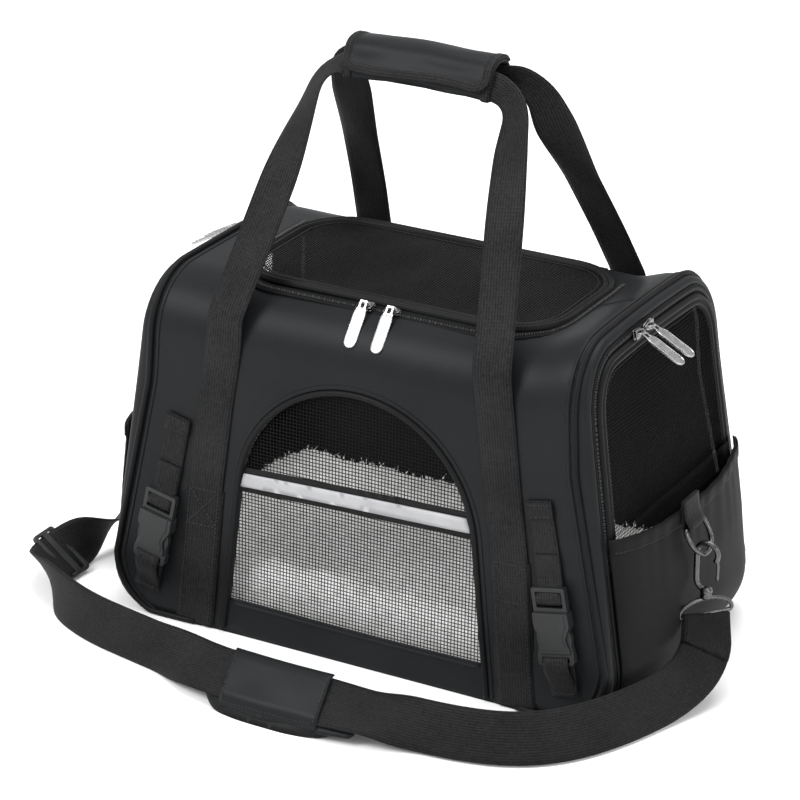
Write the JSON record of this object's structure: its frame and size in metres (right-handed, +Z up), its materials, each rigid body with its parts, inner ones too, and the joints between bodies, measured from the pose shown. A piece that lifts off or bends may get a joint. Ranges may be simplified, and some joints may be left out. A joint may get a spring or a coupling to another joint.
{
  "type": "soft-sided pet carrier bag",
  "caption": "Soft-sided pet carrier bag with an arched mesh window, mesh zip lid and end doors, carrying loops, side buckles and a shoulder strap",
  "frame": {"origin": "middle of the underside, on the surface the bag stands on", "axes": "+X to the bag's right along its length, -Y to the front with the arched window, +Z up"},
  "size_m": [0.5341, 0.3348, 0.4505],
  "materials": {
    "nylon": "satin woven",
    "mesh": "open woven net",
    "webbing": "ribbed woven tape",
    "piping": "satin",
    "zip_tape": "woven",
    "reflective_tape": "satin",
    "fleece": "deep pile",
    "board": "matte",
    "wire": "satin",
    "plastic": "satin moulded",
    "dark_metal": "satin",
    "pull_metal": "polished"
  },
  "bodies": {
    "root": {"arch_wires": "wire", "back_panel": "nylon", "base_board": "board", "bottom_panel": "nylon", "buckle_anchors": "webbing", "buckle_males": "plastic", "door_zip_tapes": "zip_tape", "end_gussets": "nylon", "end_piping": "piping", "fleece_pad": "fleece", "front_panel": "nylon", "front_webbing": "webbing", "left_buckle_webbing": "webbing", "left_end_panel": "nylon", "left_pocket": "nylon", "lid_zip_tape": "zip_tape", "rear_webbing": "webbing", "reflective_strip": "reflective_tape", "right_buckle_webbing": "webbing", "right_end_panel": "nylon", "right_pocket": "nylon", "ring_tabs": "webbing", "shoulder_strap": "webbing", "window_mesh": "mesh", "window_piping": "piping", "window_ribbon": "webbing"},
    "lid": {"lid_mesh": "mesh", "lid_binding": "piping"},
    "front_handle": {"front_handle": "webbing", "handle_grip": "nylon"},
    "rear_handle": {"rear_handle": "webbing"},
    "left_door": {"left_door_mesh": "mesh", "left_door_binding": "piping"},
    "left_door_slider_front_body": {"left_door_slider_front": "dark_metal"},
    "left_door_pull_front_body": {"left_door_pull_front": "pull_metal"},
    "left_door_slider_rear_body": {"left_door_slider_rear": "dark_metal"},
    "left_door_pull_rear_body": {"left_door_pull_rear": "pull_metal"},
    "lid_slider_left_body": {"lid_slider_left": "dark_metal"},
    "lid_pull_left_body": {"lid_pull_left": "pull_metal"},
    "left_buckle_female_body": {"left_buckle_female": "plastic"},
    "left_ring_set": {"left_d_ring": "dark_metal", "left_snap_hook": "dark_metal", "left_strap_eye": "dark_metal"},
    "left_gate": {"left_hook_gate": "dark_metal"},
    "right_door": {"right_door_mesh": "mesh", "right_door_binding": "piping"},
    "right_door_slider_front_body": {"right_door_slider_front": "dark_metal"},
    "right_door_pull_front_body": {"right_door_pull_front": "pull_metal"},
    "right_door_slider_rear_body": {"right_door_slider_rear": "dark_metal"},
    "right_door_pull_rear_body": {"right_door_pull_rear": "pull_metal"},
    "lid_slider_right_body": {"lid_slider_right": "dark_metal"},
    "lid_pull_right_body": {"lid_pull_right": "pull_metal"},
    "right_buckle_female_body": {"right_buckle_female": "plastic"},
    "right_ring_set": {"right_d_ring": "dark_metal", "right_snap_hook": "dark_metal", "right_strap_eye": "dark_metal"},
    "right_gate": {"right_hook_gate": "dark_metal"},
    "shoulder_pad_body": {"shoulder_pad": "nylon"},
    "tri_glide_body": {"tri_glide": "plastic"}
  },
  "joints": [
    {"name": "lid_open", "type": "hinge", "parent": "root", "child": "lid", "pos_m": [0, 0.0705, 0.2703], "axis": [-1, 0, 0], "range_deg": [0, 110]},
    {"name": "front_handle_swing", "type": "hinge", "parent": "root", "child": "front_handle", "pos_m": [0, -0.1098, 0.2499], "axis": [1, 0, 0], "range_deg": [0, 180], "deforming": ["handle_grip"]},
    {"name": "rear_handle_swing", "type": "hinge", "parent": "root", "child": "rear_handle", "pos_m": [0, 0.1098, 0.2499], "axis": [-1, 0, 0], "range_deg": [0, 180]},
    {"name": "left_door_open", "type": "hinge", "parent": "root", "child": "left_door", "pos_m": [-0.2007, 0, 0.14], "axis": [0, -1, 0], "range_deg": [0, 110]},
    {"name": "left_door_zip_front", "type": "slide", "parent": "left_door", "child": "left_door_slider_front_body", "axis": [0, -1, 0], "range_m": [0, 0.08]},
    {"name": "left_door_pull_front_swing", "type": "hinge", "parent": "left_door_slider_front_body", "child": "left_door_pull_front_body", "pos_m": [-0.19014, 0.022, 0.26083], "axis": [0, -1, 0], "range_deg": [-100, 45]},
    {"name": "left_door_zip_rear", "type": "slide", "parent": "left_door", "child": "left_door_slider_rear_body", "axis": [0, 1, 0], "range_m": [0, 0.018]},
    {"name": "left_door_pull_rear_swing", "type": "hinge", "parent": "left_door_slider_rear_body", "child": "left_door_pull_rear_body", "pos_m": [-0.19014, 0.04, 0.26083], "axis": [0, -1, 0], "range_deg": [-100, 45]},
    {"name": "lid_zip_left", "type": "slide", "parent": "root", "child": "lid_slider_left_body", "axis": [-1, 0, 0], "range_m": [0, 0.095]},
    {"name": "lid_pull_left_swing", "type": "hinge", "parent": "lid_slider_left_body", "child": "lid_pull_left_body", "pos_m": [-0.009, -0.08048, 0.27517], "axis": [-1, 0, 0], "range_deg": [0, 120]},
    {"name": "left_buckle_release", "type": "slide", "parent": "root", "child": "left_buckle_female_body", "axis": [0.1935, 0.0434, 0.9801], "range_m": [0, 0.03]},
    {"name": "left_ring_swing", "type": "hinge", "parent": "root", "child": "left_ring_set", "pos_m": [-0.22654, 0, 0.115], "axis": [0, 1, 0], "range_deg": [0, 25]},
    {"name": "left_gate_press", "type": "hinge", "parent": "left_ring_set", "child": "left_gate", "pos_m": [-0.24634, 0, 0.0764], "axis": [0, 1, 0], "range_deg": [0, 15], "stiffness_Nm_per_rad": 0.02},
    {"name": "right_door_open", "type": "hinge", "parent": "root", "child": "right_door", "pos_m": [0.2007, 0, 0.14], "axis": [0, 1, 0], "range_deg": [0, 110]},
    {"name": "right_door_zip_front", "type": "slide", "parent": "right_door", "child": "right_door_slider_front_body", "axis": [0, -1, 0], "range_m": [0, 0.03]},
    {"name": "right_door_pull_front_swing", "type": "hinge", "parent": "right_door_slider_front_body", "child": "right_door_pull_front_body", "pos_m": [0.1893, -0.03, 0.26683], "axis": [0, 1, 0], "range_deg": [-100, 45]},
    {"name": "right_door_zip_rear", "type": "slide", "parent": "right_door", "child": "right_door_slider_rear_body", "axis": [0, 1, 0], "range_m": [0, 0.072]},
    {"name": "right_door_pull_rear_swing", "type": "hinge", "parent": "right_door_slider_rear_body", "child": "right_door_pull_rear_body", "pos_m": [0.1893, -0.014, 0.26683], "axis": [0, 1, 0], "range_deg": [-100, 45]},
    {"name": "lid_zip_right", "type": "slide", "parent": "root", "child": "lid_slider_right_body", "axis": [1, 0, 0], "range_m": [0, 0.09]},
    {"name": "lid_pull_right_swing", "type": "hinge", "parent": "lid_slider_right_body", "child": "lid_pull_right_body", "pos_m": [0.013, -0.08048, 0.27517], "axis": [-1, 0, 0], "range_deg": [0, 120]},
    {"name": "right_buckle_release", "type": "slide", "parent": "root", "child": "right_buckle_female_body", "axis": [-0.1935, 0.0434, 0.9801], "range_m": [0, 0.03]},
    {"name": "right_ring_swing", "type": "hinge", "parent": "root", "child": "right_ring_set", "pos_m": [0.22654, 0, 0.115], "axis": [0, -1, 0], "range_deg": [0, 25]},
    {"name": "right_gate_press", "type": "hinge", "parent": "right_ring_set", "child": "right_gate", "pos_m": [0.24634, 0, 0.0764], "axis": [0, -1, 0], "range_deg": [0, 15], "stiffness_Nm_per_rad": 0.02},
    {"name": "strap_pad_slide", "type": "slide", "parent": "root", "child": "shoulder_pad_body", "axis": [1, 0, 0], "range_m": [-0.03, 0.03], "deforming": ["shoulder_strap"]},
    {"name": "strap_length_slide", "type": "slide", "parent": "root", "child": "tri_glide_body", "axis": [0.1219, 0.9925, 0], "range_m": [0, 0.012]}
  ],
  "couplings": [
    {"joint": "rear_handle_swing", "follows": "lid_open", "ratio": 1.5}
  ]
}
